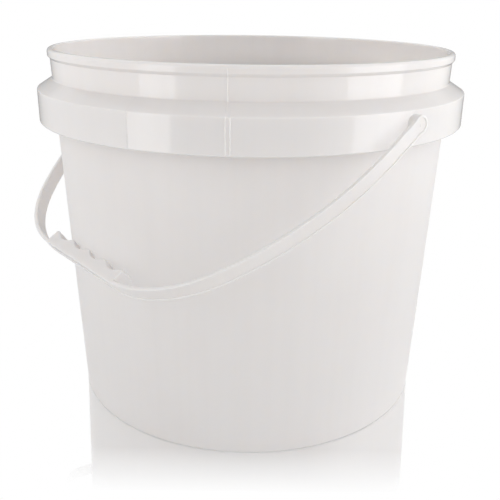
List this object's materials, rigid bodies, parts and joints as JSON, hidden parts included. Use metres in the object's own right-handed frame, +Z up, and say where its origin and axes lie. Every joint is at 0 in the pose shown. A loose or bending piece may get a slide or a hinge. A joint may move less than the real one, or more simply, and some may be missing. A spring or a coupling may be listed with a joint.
{
  "type": "plastic fermenting bucket",
  "caption": "Open tapered plastic fermenting bucket with a lid lip, a hollow stiffening skirt and a swinging strap handle with a finger grip.",
  "frame": {"origin": "centre of the foot ring, on the ground", "axes": "+Z up; the hinge line is along X; the handle hangs down on the -Y side at rest"},
  "size_m": [0.287, 0.2754, 0.231],
  "materials": {
    "bucket_plastic": "natural white, slightly translucent; glossy neck and skirt, satin wall",
    "handle_plastic": "natural white, satin"
  },
  "bodies": {
    "bucket": {"bucket": "bucket_plastic"},
    "handle": {"handle": "handle_plastic"}
  },
  "joints": [
    {"name": "handle_swing", "type": "hinge", "parent": "bucket", "child": "handle", "pos_m": [0, 0, 0.1998], "axis": [-1, 0, 0], "range_deg": [0, 247]}
  ]
}
